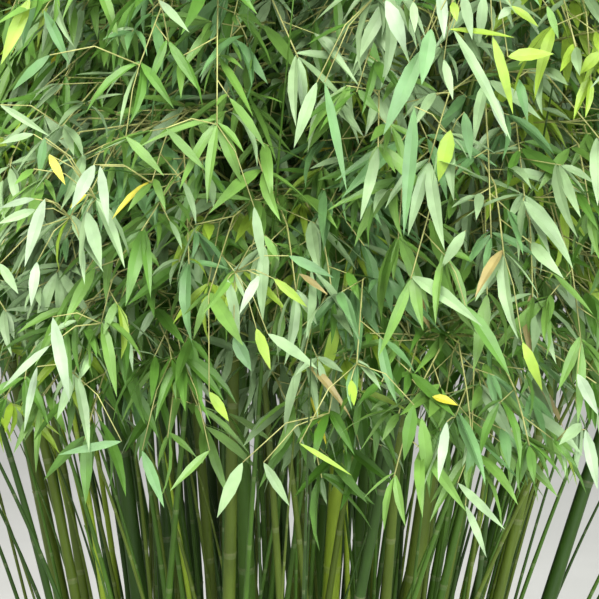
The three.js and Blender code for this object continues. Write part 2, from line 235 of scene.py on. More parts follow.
def seen(points):
    """Where points are in the picture, across and down as shares of it, and how deep they are."""
    away = points - CAMERA_PLACE
    depth = away @ FORWARD
    zoom = CAMERA_LENS / SENSOR_WIDTH / depth
    return 0.5 + (away @ RIGHT) * zoom, 0.5 - (away @ ABOVE) * zoom, depth


class CaneShape:
    """The line and girth that canes share. A size may be one cane's or a row of many canes'."""

    def point(self, t):
        t = np.asarray(t, float)
        out = self.lean * self.length * t + self.arch * t**3
        rise = self.length * (t - ARCH_SAG * t**4)
        x = self.foot[..., 0] + self.heading[..., 0] * out + LEAN_DRIFT * rise
        y = self.foot[..., 1] + self.heading[..., 1] * out
        return np.stack([x, y, SOIL_TOP + TOUCH_GAP + rise], axis=-1)

    def radius_at(self, t):
        t = np.clip(t, 0, 1)
        taper = mix(CULM_TIP_SHARE, 1, (1 - t**TAPER_FOOT_POWER) ** TAPER_TIP_POWER)
        return self.radius * (taper + FOOT_FLARE * np.exp(-t * self.length / FOOT_FLARE_LENGTH))


@dataclass(eq=False)
class Cane(CaneShape):
    """One culm or shoot: its line from the soil to its tip, and where its foliage begins."""

    name: str
    foot: np.ndarray
    turn: float
    lean: float
    length: float
    arch: float
    radius: float
    is_leader: bool
    crown_foot: float
    index: int = -1

    def __post_init__(self):
        self.heading = np.array([math.cos(self.turn), math.sin(self.turn)])
        self.crown_from = self.crown_foot / self.length

    def tangent(self, t):
        return unit(self.point(t + TANGENT_STEP) - self.point(t - TANGENT_STEP))

    def beside(self, points):
        """The cane's places at the height of some points, or its tip for the points above it."""
        share = (points[..., 2] - SOIL_TOP) / self.length
        return self.point(share_at_height(share))


def share_at_height(share):
    """Where on its line a cane has risen by some share of its length."""
    t = share
    for _ in range(HEIGHT_STEPS):
        t = np.minimum(1, share + ARCH_SAG * t**4)
    return t


class Clump(CaneShape):
    """Canes as rows of sizes, to measure many places against all of them at once."""

    def __init__(self, members):
        for size in ("foot", "heading", "lean", "length", "arch", "radius", "is_leader"):
            setattr(self, size, np.array([getattr(cane, size) for cane in members]))

    def beside(self, points):
        """How far each point is from every cane at its height, and each cane's radius there."""
        t = share_at_height((points[:, None, 2] - SOIL_TOP) / self.length)
        gaps = self.point(t) - points[:, None, :]
        return np.sqrt(np.einsum("pcx,pcx->pc", gaps, gaps)), self.radius_at(t)


def make_culm(index):
    is_leader = index % LEADER_EVERY == 0
    share = math.sqrt((index + 0.5) / CULM_COUNT)
    bearing = index * GOLDEN_ANGLE
    turn = bearing + (roll(CULM_SEED, index, 1) - 0.5) * TURN_SPREAD
    slant = mix(LEAN_INNER, LEAN_OUTER, share) * (1 + (roll(CULM_SEED, index, 2) - 0.5) * LEAN_SPREAD)
    longest, shortest = (LEADER_LENGTH, LEADER_SHORTEST) if is_leader else (LESSER_LENGTH, LESSER_SHORTEST)
    length = longest * mix(1, shortest, mix(roll(CULM_SEED, index, 3), share**2, SHORTER_OUTSIDE))
    crown_foot = mix(CROWN_FOOT_LOW, CROWN_FOOT_HIGH, roll(CULM_SEED, index, 6))
    return Cane(
        name=f"{index + 1:02d}",
        foot=np.array([math.cos(bearing), math.sin(bearing)]) * CLUMP_RADIUS * share,
        turn=turn,
        lean=slant if is_leader else slant * LESSER_LEAN,
        length=length,
        arch=ARCH_REACH * mix(ARCH_INNER, 1, share) * mix(ARCH_LEAST, ARCH_MOST, roll(CULM_SEED, index, 5)),
        radius=mix(CULM_THIN, CULM_THICK, roll(CULM_SEED, index, 4)),
        is_leader=is_leader,
        crown_foot=crown_foot if is_leader else max(crown_foot, length - LESSER_CROWN_LENGTH),
    )


def is_clear_of(shoot, others, start):
    shares = np.linspace(start, 1, SHOOT_CHECKS)
    distance, radii = others.beside(shoot.point(shares))
    return np.all(distance > shoot.radius_at(shares)[:, None] + radii + SHOOT_CLEARANCE)


def make_shoots(culm, index, others, wanted, shortest, longest, thin, thick, foot_step, most_tries):
    """The shoots round a cane's foot: the first tries that are clear of every other cane."""
    shoots = []
    for tries in range(most_tries):
        chance = [roll(CULM_SEED, index, tries, key) for key in range(6)]
        bearing = 2 * math.pi * chance[1]
        length = culm.length * mix(shortest, longest, chance[4])
        step = np.array([math.cos(bearing), math.sin(bearing)]) * culm.radius * foot_step
        shoot = Cane(
            name=f"{culm.name}_shoot_{len(shoots) + 1}",
            foot=culm.foot + step,
            turn=culm.turn + mix(-SHOOT_TURN, SHOOT_TURN, chance[2]),
            lean=culm.lean * mix(*SHOOT_LEAN, chance[3]),
            length=length,
            arch=culm.arch,
            radius=mix(thin, thick, chance[5]),
            is_leader=False,
            crown_foot=max(CROWN_FOOT_LOW, length - SHOOT_CROWN_LENGTH),
        )
        in_pot = np.linalg.norm(shoot.foot) < CLUMP_RADIUS
        off_kin = is_clear_of(shoot, Clump([culm, *shoots]), SHOOT_FUSED_SHARE)
        if in_pot and off_kin and is_clear_of(shoot, others, 0):
            shoots.append(shoot)
        if len(shoots) == wanted:
            break
    return shoots


culms = [make_culm(index) for index in range(CULM_COUNT)]
canes = list(culms)
for index, culm in enumerate(culms):
    if not culm.is_leader:
        others = Clump([other for other in canes if other is not culm])
        canes += make_shoots(culm, index, others, **SHOOTS)
clump = Clump(canes)

slim_shoots = []
for index, culm in reversed(list(enumerate(culms))):
    others = Clump([other for other in canes + slim_shoots if other is not culm])
    slim_shoots += make_shoots(culm, SLIM_KEY + index, others, **SLIM_SHOOTS)
for number, cane in enumerate(canes + slim_shoots):
    cane.index = number


def are_free(lines, radii, cane):
    """For lines of some thickness: which stay in their cane's space and off every other cane."""
    height = lines[..., 2] - SOIL_TOP
    rise = np.clip((height / cane.length - cane.crown_from) / (1 - cane.crown_from), 0, 1)
    reach = mix(REACH_BELOW, REACH_ABOVE, rise)
    room = (radii + SPACE_MARGIN)[:, None]
    own = np.linalg.norm(lines - cane.beside(lines), axis=-1)
    free = ~np.any((height < HANG_LOWEST + room) | (own > reach - room), axis=1)
    if not free.any():
        return free
    distance, cane_radii = clump.beside(lines[free].reshape(-1, 3))
    distance[:, cane.index] = FAR
    distance = distance.reshape(-1, lines.shape[1], len(canes))
    cane_radii = cane_radii.reshape(distance.shape)
    touches = distance <= radii[free][:, None, None] + cane_radii + LIMB_CLEARANCE
    if cane.is_leader:
        nearer = distance[..., clump.is_leader] <= (own + 2 * room)[free][..., None]
        touches[..., clump.is_leader] |= nearer
    free[free] = ~touches.any(axis=(1, 2))
    return free


def along(points, shares):
    """Places on a line of straight pieces, at shares of its length."""
    steps = np.linalg.norm(np.diff(points, axis=0), axis=1)
    marks = np.concatenate([[0], np.cumsum(steps)])
    wanted = np.asarray(shares) * marks[-1]
    return np.stack([np.interp(wanted, marks, points[:, axis]) for axis in range(3)], axis=-1)


# A line is set out by three guiding points. These are how much each counts at places along it.
def curve_weights(shares):
    """For a smooth curve that sets off towards its middle point."""
    return np.stack([(1 - shares) ** 2, 2 * shares * (1 - shares), shares**2], axis=-1)


def bend_weights(shares):
    """For two straight pieces that meet at the middle point."""
    first = np.clip(1 - shares / SPRAY_WIDEST, 0, 1)
    last = np.clip((shares - SPRAY_WIDEST) / (1 - SPRAY_WIDEST), 0, 1)
    return np.stack([first, 1 - first - last, last], axis=-1)


CHECKS = math.ceil(BRANCH_LONGEST * BRANCH_MOST / SAMPLE_STEP) + 1
CURVE_POINTS = 7
NEARBY = 0.02
BRANCH_CHECKS = curve_weights(np.linspace(0, 1, CHECKS))
BRANCH_POINTS = curve_weights(np.linspace(0, 1, CURVE_POINTS))
SPRAY_CHECKS = bend_weights(np.linspace(SPRAY_CHECKED_FROM, 1, CHECKS))


def branch_guides(cane, t, angle, length):
    """Branches leave their cane at a slant, turned round it by some angle, and droop to their ends."""
    start = np.broadcast_to(cane.point(t), (len(angle), 3))
    side = np.stack([np.cos(angle), np.sin(angle), 0 * angle], axis=-1)
    heading = unit(cane.tangent(t) * BRANCH_RISE + side)
    bend = start + heading * length[:, None] * BRANCH_TO_BEND
    end = bend + heading * length[:, None] * BRANCH_PAST_BEND - UP * length[:, None] * BRANCH_DROOP
    return np.stack([start, bend, end], axis=1)


def spray_line(twig, t, slant, keys, cane):
    """The line of one spray, or None where every try would leave the space or touch a cane."""
    here, root, ahead = along(twig, [max(t - NEARBY, 0), t, min(t + NEARBY, 1)])
    heading_on = unit(ahead - here)
    side = unit(np.cross(heading_on, UP))
    tries = np.arange(SPRAY_TRIES)
    fall = (FALL + TRY_FALL * tries * roll(*keys, tries, 1))[:, None]
    heading = unit(heading_on + side * slant - UP * fall)
    size = mix(SPRAY_LEAST, SPRAY_MOST, roll(*keys, tries, 2)) * (1 - TRY_SHRINK * tries)
    droop = mix(DROOP_LEAST, DROOP_MOST, roll(*keys, tries, 3))[:, None]
    length = (SPRAY_LENGTH * size)[:, None]
    widest = root + heading * length * SPRAY_WIDEST
    tip = widest + unit(heading - UP * droop) * length * (1 - SPRAY_WIDEST)
    lines = np.stack([np.broadcast_to(root, tip.shape), widest, tip], axis=1)
    free = are_free(SPRAY_CHECKS @ lines, SPRAY_WIDTH * size / 2, cane)
    return lines[np.argmax(free)] if free.any() else None


def grow_branch(cane, t, angle, longest, keys):
    """One branch and the lines of its sprays, by the source's tries."""
    tries = np.arange(BRANCH_TRIES)
    turn = angle + (roll(*keys, tries, 0) - 0.5) * (1 + tries * TRY_TURN)
    size = mix(BRANCH_LEAST, BRANCH_MOST, roll(*keys, tries, 1)) * (1 - TRY_SHRINK * tries)
    guides = branch_guides(cane, t, turn, longest * size)
    free = are_free(BRANCH_CHECKS @ guides, np.full(BRANCH_TRIES, BRANCH_RADIUS), cane)
    for tried in np.flatnonzero(free):
        line = BRANCH_POINTS @ guides[tried]
        sprays = []
        for n in range(LEAVES_PER_BRANCH):
            is_last = n == LEAVES_PER_BRANCH - 1
            side = (-1 if n % 2 else 1) * mix(SLANT_LEAST, SLANT_MOST, roll(*keys, tried, n, 1))
            place = mix(FIRST_LEAF, LAST_LEAF, n / (LEAVES_PER_BRANCH - 1))
            spray = spray_line(line, place, 0 if is_last else side, [*keys, tried, n], cane)
            if spray is not None:
                sprays.append(spray)
        if len(sprays) > 1:
            return [(line, sprays)]
    return []


def tip_sprays(cane, top_from):
    """The sprays that carry on from the tip of a leading cane."""
    stem = cane.point(np.linspace(top_from, 1, TOP_STEPS + 1))
    sprays = []
    for n in range(LEAVES_AT_TIP):
        slant = TIP_LEAF_SLANT * (n - (LEAVES_AT_TIP - 1) / 2)
        keys = [cane.index, BRANCHES_PER_MASS, n]
        spray = spray_line(stem, LAST_LEAF - TIP_LEAF_STEP * n, slant, keys, cane)
        if spray is not None:
            sprays.append(spray)
    return sprays


def grow_cane(cane):
    """Every branch of one cane: the source's own ones first, then the finer ones between them."""
    grown = []
    top_from = cane.crown_from + TOUCH_GAP / cane.length
    if cane.is_leader:
        for n in range(BRANCHES_PER_MASS):
            share = n / (BRANCHES_PER_MASS - 1)
            t = mix(top_from, 1, mix(BRANCH_LOWEST, BRANCH_HIGHEST, share))
            longest = mix(BRANCH_LONGEST, BRANCH_SHORTEST, share)
            grown += grow_branch(cane, t, n * GOLDEN_ANGLE + cane.index, longest, [cane.index, n])
        grown.append((None, tip_sprays(cane, top_from)))
    lesser = SHOOT_BRANCHES if "shoot" in cane.name else LESSER_BRANCHES
    count = FINER_BRANCHES if cane.is_leader else lesser
    for n in range(count):
        share = (n + 0.5) / count
        t = mix(top_from, 1, mix(0, FINER_HIGHEST, share))
        longest = mix(FINER_LONGEST, FINER_SHORTEST, share)
        angle = n * GOLDEN_ANGLE + cane.index * FINER_TURN
        grown += grow_branch(cane, t, angle, longest, [cane.index, FINER_KEY + n])
    return grown


# Meshes are made from arrays of corners and faces.
def make_mesh(name, points, faces, uvs=None, slots=None, smooth=True):
    """A mesh from points in millimetres and arrays of faces, each with its own number of corners."""
    corners = np.concatenate([part.ravel() for part in faces]).astype(np.int32)
    sides = np.concatenate([np.full(len(part), part.shape[1]) for part in faces])
    starts = np.concatenate([[0], np.cumsum(sides)[:-1]]).astype(np.int32)
    mesh = bpy.data.meshes.new(name)
    mesh.vertices.add(len(points))
    mesh.vertices.foreach_set("co", (np.asarray(points) * METRE).astype(np.float32).ravel())
    mesh.loops.add(len(corners))
    mesh.loops.foreach_set("vertex_index", corners)
    mesh.polygons.add(len(starts))
    mesh.polygons.foreach_set("loop_start", starts)
    mesh.polygons.foreach_set("use_smooth", np.full(len(starts), smooth))
    if slots is not None:
        mesh.polygons.foreach_set("material_index", slots.astype(np.int32))
    if uvs is not None:
        layer = mesh.uv_layers.new(name="UVMap")
        layer.uv.foreach_set("vector", uvs[corners].astype(np.float32).ravel())
    mesh.update(calc_edges=True)
    return mesh


def add_object(name, data):
    thing = bpy.data.objects.new(name, data)
    bpy.context.scene.collection.objects.link(thing)
    return thing


def add_piece(mesh, materials, replaced=()):
    piece = add_object(mesh.name, mesh)
    for material in materials:
        mesh.materials.append(material)
    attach(piece, "root")
    if replaced:
        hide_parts(*replaced)


STEEP = 0.8


def rings_along(points, radii, sides):
    """Rings of corners round lines: points is (lines, stations, 3) and radii is (lines, stations)."""
    tangents = unit(np.gradient(points, axis=1))
    chord = unit(points[:, -1] - points[:, 0])
    reference = np.where(np.abs(chord @ UP)[:, None] > STEEP, np.array([1.0, 0, 0]), UP)
    across = unit(np.cross(tangents, reference[:, None, :]))
    other = np.cross(across, tangents)
    turn = np.arange(sides) * 2 * math.pi / sides
    ring = across[:, :, None] * np.cos(turn)[:, None] + other[:, :, None] * np.sin(turn)[:, None]
    return points[:, :, None] + ring * radii[:, :, None, None]


def tube_faces(lines, stations, sides):
    """Quads between the rings, and a flat cap at each end."""
    first = (np.arange(lines) * stations * sides)[:, None, None]
    ring = (np.arange(stations - 1) * sides)[None, :, None]
    side = np.arange(sides)[None, None, :]
    ahead = (side + 1) % sides
    a, b = first + ring + side, first + ring + ahead
    quads = np.stack([a, b, b + sides, a + sides], axis=-1).reshape(-1, 4)
    foot = first[:, 0] + np.arange(sides)[None, ::-1]
    head = first[:, 0] + (stations - 1) * sides + np.arange(sides)[None, :]
    return [quads, foot, head]


# A node on a cane: distances from it along the cane, how much thicker the cane is there, and its skin.
NODE_PROFILE = (
    (-26, 1.0, "green"),
    (-9, 1.0, "bloom"),
    (-2.2, 1.03, "scar"),
    (-0.6, 1.085, "scar"),
    (0.9, 1.075, "scar"),
    (2.4, 1.005, "green"),
    (6.5, 1.05, "green"),
    (13, 1.012, "green"),
)
NODE_LEAST_LENGTH = 0.5
SLOT_OF = {"green": 0, "bloom": 1, "scar": 2}
CANE_SIDES = 14
SHOOT_SIDES = 9
LONG_STRETCH = 60
STRETCH_WAIST = 0.985
LEAST_STEP = 0.2

# Where the nodes are, in millimetres, and how the gaps between them vary, as shares.
FIRST_NODE = (26, 56)
LAST_NODE = 40
NODE_GAP = (165, 240)
GAP_BY_GIRTH = (0.75, 1.25)
GAP_AT_FOOT = 0.3
GAP_GROWTH = 2.6
GAP_AT_TIP = 0.55
GAP_CHANCE = (0.9, 1.1)


def cane_nodes(cane):
    """Shares of the cane's length where its nodes are: close together at the foot and the tip."""
    girth = (cane.radius - CULM_THIN) / CULM_THIN
    even = pick(NODE_GAP, cane.index, 41) * mix(*GAP_BY_GIRTH, girth)
    at, places = pick(FIRST_NODE, cane.index, 40), []
    while at < cane.length - LAST_NODE:
        share = at / cane.length
        places.append(share)
        by_height = min(1, GAP_AT_FOOT + GAP_GROWTH * share) * mix(1, GAP_AT_TIP, share**2)
        at += even * by_height * mix(*GAP_CHANCE, roll(cane.index, 42, len(places)))
    return places


def cane_mesh(cane):
    """The whole cane with a ridge, a pale scar and a bloom at each node."""
    rings = [(0.0, 1.0, "green")]
    for place in cane_nodes(cane):
        small = cane.radius_at(place) / CULM_THICK
        start = place + NODE_PROFILE[0][0] * small / cane.length
        last = rings[-1][0]
        if start - last > LONG_STRETCH / cane.length:
            rings.append(((start + last) / 2, STRETCH_WAIST, "green"))
        for offset, size, kind in NODE_PROFILE:
            wanted = place + offset * mix(NODE_LEAST_LENGTH, 1, small) / cane.length
            rings.append((max(wanted, rings[-1][0] + LEAST_STEP / cane.length), size, kind))
    rings.append((1.0, 1.0, "green"))
    stations, swell, kinds = zip(*rings)
    stations = np.array(stations)
    points = cane.point(stations)[None]
    radii = (cane.radius_at(stations) * np.array(swell))[None]
    sides = CANE_SIDES if cane in culms else SHOOT_SIDES
    corners = rings_along(points, radii, sides)
    corners[0, 0, :, 2] = SOIL_TOP + TOUCH_GAP
    quads, foot, head = tube_faces(1, len(stations), sides)
    slots = np.repeat([SLOT_OF[kind] for kind in kinds[:-1]], sides)
    slots = np.concatenate([slots, [0, 0]])
    return make_mesh(f"cane_{cane.name}", corners.reshape(-1, 3), [quads, foot, head], slots=slots)


# One leaf: places along it, and its breadth there as a share of the widest.
LEAF_ROWS = ((0.07, 0.38), (0.25, 0.90), (0.50, 0.96), (0.77, 0.52))
KEEL_U = 0.5


def leaf_surface(root, heading, face, length, width, bend, fold, twist):
    """Corners, faces and places on the blade of many leaves, each two halves that meet at a keel."""
    count, rows = len(root), len(LEAF_ROWS)
    across = unit(np.cross(face, heading))
    face = np.cross(heading, across)
    row_v, row_w = np.array([(0, 0), *LEAF_ROWS, (1, 0)], float).T
    forward = row_v - bend[:, None] ** 2 * row_v**3 / 6
    drop = bend[:, None] * row_v**2 / 2
    keel = (
        root[:, None]
        + heading[:, None] * (forward * length[:, None])[..., None]
        - face[:, None] * (drop * length[:, None])[..., None]
    )
    spin = twist[:, None] * row_v
    breadth = row_w * width[:, None] / 2
    points, places = [], []
    for sign in (-1, 1):
        lift = sign * spin + fold[:, None]
        edge = keel + (
            across[:, None] * (sign * breadth * np.cos(lift))[..., None]
            + face[:, None] * (breadth * np.sin(lift))[..., None]
        )
        points += [keel[:, :-1], edge[:, 1:-1], keel[:, -1:]]
        u = [KEEL_U] * (rows + 1) + [KEEL_U + sign * KEEL_U] * rows + [KEEL_U]
        places.append(np.column_stack([u, [*row_v[:-1], *row_v[1:]]]))
    points = np.concatenate(points, axis=1)
    places = np.concatenate(places)
    per_leaf = points.shape[1]
    half = per_leaf // 2
    triangles, quads = [], []
    for base, turn in ((0, -1), (half, 1)):
        inner = base + 1 + np.arange(rows)
        outer = inner + rows
        last = base + half - 1
        triangles += [[base, outer[0], inner[0]][::turn], [last, inner[-1], outer[-1]][::turn]]
        quads += [[inner[n], outer[n], outer[n + 1], inner[n + 1]][::turn] for n in range(rows - 1)]
    shift = (np.arange(count) * per_leaf)[:, None, None]
    triangles = (np.array(triangles)[None] + shift).reshape(-1, 3)
    quads = (np.array(quads)[None] + shift).reshape(-1, 4)
    return points.reshape(-1, 3), [triangles, quads], np.tile(places, (count, 1))


# The kinds of leaf and their colours, some of them painted light and shade.
LEAF_KINDS = {
    # Painted shade: a dark green for the sprays inside the crown and in the picture's darker patches.
    "painted_shade": (0.056, 0.150, 0.012),
    "mid": (0.098, 0.230, 0.030),
    "fresh": (0.148, 0.295, 0.050),
    "blue": (0.135, 0.285, 0.095),
    # Painted sheen: a whitish green for leaves that catch the light.
    "pale": (0.275, 0.410, 0.195),
    # Painted highlight: a lighter whitish green still, for leaves that gleam in the light.
    "painted_highlight": (0.330, 0.450, 0.270),
    # Partly the leaves' own yellow-green and partly painted light shining through them from behind.
    "lime": (0.285, 0.440, 0.040),
    "yellow": (0.600, 0.560, 0.050),
    "straw": (0.360, 0.300, 0.110),
}
# How common each kind is among the sprays inside the crown and among those at its outside: the dark
# kind inside is painted shade, where shade falls, and the pale kind outside is painted sheen.
INNER_SHARES = {"painted_shade": 0.50, "mid": 0.36, "fresh": 0.10, "blue": 0.03, "lime": 0.01}
OUTER_SHARES = {"mid": 0.37, "fresh": 0.31, "blue": 0.19, "pale": 0.10, "lime": 0.03}
INNER_RADIUS = 380
INNER_CHANCE = (0.8, 1.4)
KIND_NUMBER = {kind: number for number, kind in enumerate(LEAF_KINDS)}
# Patches of the picture where one kind of spray is common: its middle across and down, its radius
# and the kind's share, all as shares of the picture or of its sprays.
# Each patch makes the leaves lighter or darker where the picture is lighter or darker: pale patches are
# painted sheen, dark ones painted shade, and the rest partly painted light and shade, partly the leaves'
# own colours.
PATCHES = (
    (0.05, 0.40, 0.13, "pale", 0.60),
    (0.20, 0.50, 0.10, "painted_shade", 0.60),
    (0.06, 0.68, 0.08, "mid", 0.60),
    (0.60, 0.08, 0.12, "pale", 0.45),
    (0.73, 0.05, 0.11, "pale", 0.65),
    (0.82, 0.22, 0.14, "pale", 0.60),
    (0.81, 0.32, 0.08, "pale", 0.45),
    (0.97, 0.72, 0.07, "pale", 0.30),
    (0.92, 0.10, 0.14, "lime", 0.45),
    (0.88, 0.55, 0.12, "fresh", 0.50),
    (0.04, 0.05, 0.09, "lime", 0.30),
    (0.33, 0.26, 0.16, "fresh", 0.55),
    (0.38, 0.62, 0.14, "fresh", 0.40),
    (0.45, 0.45, 0.09, "pale", 0.35),
    (0.44, 0.66, 0.11, "pale", 0.50),
    (0.57, 0.70, 0.08, "painted_shade", 0.60),
    (0.65, 0.32, 0.07, "mid", 0.60),
)
# Patches reach the sprays that end this far in front of the crown's middle, or further.
PATCH_FRONT = 100
# How common the single leaves are that differ from the rest of their spray: the pale ones are painted
# sheen, the lime ones partly painted light shining through; the yellow and straw ones are their own
# colours.
SINGLE_LEAVES = {"yellow": 0.002, "straw": 0.005, "lime": 0.015, "pale": 0.055}


def picked(shares, place, otherwise):
    """The kinds that fall to places from 0 to 1, or the other kind for places beyond them all."""
    limits = np.cumsum(list(shares.values()))
    names = [KIND_NUMBER[kind] for kind in shares]
    slot = np.searchsorted(limits, place, side="right")
    return np.where(slot < len(names), np.array([*names, 0])[slot], otherwise)


def spray_kinds(tips, numbers):
    """The kind of leaf on each spray, by how far out from the crown's middle it ends: painted shade inside,
    painted sheen outside.
    """
    height = tips[:, 2] - SOIL_TOP
    outwards = np.hypot(tips[:, 0] - LEAN_DRIFT * height, tips[:, 1])
    is_outer = outwards > INNER_RADIUS * pick(INNER_CHANCE, numbers, 1)
    place = roll(numbers, 2)
    middling = KIND_NUMBER["mid"]
    kinds = np.where(is_outer, picked(OUTER_SHARES, place, middling), picked(INNER_SHARES, place, middling))
    across, down, _ = seen(tips)
    for number, (middle, level, radius, kind, share) in enumerate(PATCHES):
        in_patch = (tips[:, 1] < -PATCH_FRONT) & (np.hypot(across - middle, down - level) < radius)
        kinds[in_patch & (roll(numbers, number, 3) < share)] = KIND_NUMBER[kind]
    return kinds


class Foliage:
    """Gathers the branches, the twigs and the fans of leaves of all the canes."""

    def __init__(self):
        self.branches = []
        self.twigs = []
        self.twiglets = []
        self.bowed_twiglets = []
        self.fans = []

    def spray(self, line, keys):
        """A twig along the first part of a line, with fans of leaves to both sides and one at its end."""
        size = np.linalg.norm(np.diff(line, axis=0), axis=1).sum() / SPRAY_LENGTH
        twig_share = 1 - LEAF_LENGTH / (SPRAY_LENGTH * size)
        twig = along(line, np.linspace(0, twig_share, TWIG_STATIONS))
        number = len(self.twigs)
        self.twigs.append(twig)
        fans = np.arange(FANS_PER_SPRAY)
        places = mix(FIRST_FAN, 1, fans / (FANS_PER_SPRAY - 1))
        roots = along(twig, places)
        ahead = along(twig, np.minimum(places + FAN_REACH, 1))
        on = unit(ahead - along(twig, np.maximum(places - FAN_REACH, 0)))
        counts = pick(FAN_LEAVES, *keys, fans, 7).astype(int)
        side = unit(np.cross(on, UP)) * np.where(fans % 2, 1, -1)[:, None]
        slant = pick(TWIGLET_SLANT, *keys, fans, 8)[:, None]
        lift = pick(TWIGLET_LIFT, *keys, fans, 9)[:, None]
        heading = unit(on + side * slant + UP * lift)
        tips = roots + heading * pick(TWIGLET_LENGTH, *keys, fans, 10)[:, None]
        for n in range(FANS_PER_SPRAY - 1):
            self.twiglets.append(np.stack([roots[n], tips[n]]))
            self.fans.append((*tips[n], *unit(heading[n] - UP * SIDE_FAN_FALL), counts[n], number))
        self.fans.append((*roots[-1], *unit(on[-1] + UP * END_FAN_LIFT), counts[-1] + 1, number))


# The leaves that stand out in the photograph, read off it: where each begins and ends in the
# picture, across and down in thousandths of its width, its breadth in millimetres and its kind.
# Many are given the whitish kinds, which are painted highlights and painted sheen on leaves facing the
# light.
LEAVES_IN_VIEW = (
    (50, -3, 0, 105, 16, "lime"),
    (73, 17, 117, 109, 12, "blue"),
    (83, 92, 15, 149, 11, "blue"),
    (0, 175, 83, 226, 9, "pale"),
    (265, 0, 315, 50, 9, "pale"),
    (82, 258, 108, 307, 10, "yellow"),
    (158, 275, 118, 347, 15, "painted_highlight"),
    (145, 325, 112, 345, 10, "yellow"),
    (167, 277, 180, 374, 11, "painted_highlight"),
    (145, 353, 170, 445, 16, "pale"),
    (75, 332, 38, 444, 15, "painted_highlight"),
    (58, 332, -5, 344, 9, "painted_highlight"),
    (60, 350, -5, 372, 11, "pale"),
    (210, 228, 275, 290, 11, "fresh"),
    (277, 214, 348, 288, 10, "fresh"),
    (424, 345, 442, 450, 11, "pale"),
    (644, 0, 682, 87, 17, "painted_highlight"),
    (720, 48, 704, 140, 16, "blue"),
    (704, 83, 640, 224, 17, "blue"),
    (692, 178, 674, 392, 15, "blue"),
    (542, 137, 580, 318, 10, "blue"),
    (529, 137, 488, 247, 13, "pale"),
    (756, 48, 866, 230, 12, "pale"),
    (822, 60, 864, 192, 11, "lime"),
    (848, 95, 925, 87, 15, "lime"),
    (1003, 87, 966, 122, 14, "lime"),
    (752, 217, 732, 304, 17, "lime"),
    (777, 385, 734, 450, 12, "pale"),
    (874, 335, 956, 427, 14, "pale"),
    (500, 457, 549, 489, 8, "straw"),
    (88, 529, 115, 673, 15, "painted_highlight"),
    (83, 577, -2, 648, 10, "painted_highlight"),
    (62, 612, 37, 721, 9, "painted_highlight"),
    (203, 737, 95, 757, 10, "blue"),
    (237, 752, 275, 848, 13, "blue"),
    (349, 654, 384, 704, 12, "lime"),
    (405, 772, 360, 866, 15, "pale"),
    (350, 752, 282, 816, 11, "fresh"),
    (440, 772, 485, 848, 12, "pale"),
    (500, 740, 592, 792, 6, "lime"),
    (777, 510, 859, 627, 17, "mid"),
    (872, 571, 911, 656, 12, "lime"),
    (964, 624, 1000, 691, 13, "painted_highlight"),
    (971, 707, 936, 739, 13, "pale"),
    (977, 717, 1000, 819, 14, "painted_highlight"),
    (691, 676, 674, 771, 15, "mid"),
    (704, 697, 719, 819, 15, "fresh"),
    (746, 704, 732, 802, 11, "painted_highlight"),
    (722, 662, 764, 672, 11, "yellow"),
    (764, 806, 844, 882, 10, "pale"),
    (777, 844, 816, 930, 9, "pale"),
    (586, 634, 592, 679, 10, "lime"),
    (741, 99, 757, 164, 9, "pale"),
    (818, 153, 847, 227, 11, "painted_highlight"),
    (750, 49, 862, 53, 8, "lime"),
    (864, 130, 882, 201, 11, "blue"),
    (690, 3, 693, 51, 9, "pale"),
    (775, 187, 787, 266, 12, "blue"),
    (756, 3, 763, 32, 9, "lime"),
    (853, 10, 901, 39, 9, "lime"),
    (853, 12, 831, 32, 9, "pale"),
    (913, 10, 935, 65, 8, "fresh"),
    (735, -20, 742, 62, 12, "painted_highlight"),
    (772, -12, 790, 64, 11, "pale"),
    (808, -10, 800, 75, 11, "pale"),
    (75, 230, 63, 294, 10, "blue"),
    (56, 224, 0, 236, 9, "pale"),
    (56, 282, 25, 305, 9, "fresh"),
    (62, 437, 50, 510, 12, "painted_highlight"),
    (0, 440, 30, 490, 11, "pale"),
    (135, 402, 140, 473, 7, "pale"),
    (441, 393, 467, 436, 8, "fresh"),
    (380, 466, 401, 562, 12, "pale"),
    (433, 460, 399, 521, 11, "painted_highlight"),
    (482, 427, 559, 463, 11, "blue"),
    (457, 465, 515, 514, 10, "lime"),
    (428, 548, 452, 616, 12, "lime"),
    (447, 557, 532, 611, 13, "pale"),
    (390, 562, 420, 620, 15, "blue"),
)
# A leaf in view grows a little in front of a twig end within this reach of its place: of all those
# ends, one near the place and near the viewer.
SHOWN_REACH = 110
SHOWN_DEPTH_WEIGHT = 1.5
SHOWN_FORWARD = 20
SHOWN_TIP_FORWARD = (-10, 25)
SHOWN_BOW = 0.15
SHOWN_TO_VIEWER = (0.5, 0.9)
SHOWN_BEND = SHOWN_FOLD = (0.1, 0.35)
SHOWN_TWIST = (-0.25, 0.25)


def place_in_view(across, down, depth):
    """The place at some depth that is seen at some share across and down the picture."""
    spread = depth * SENSOR_WIDTH / CAMERA_LENS
    return CAMERA_PLACE + FORWARD * depth + RIGHT * (across - 0.5) * spread + ABOVE * (0.5 - down) * spread


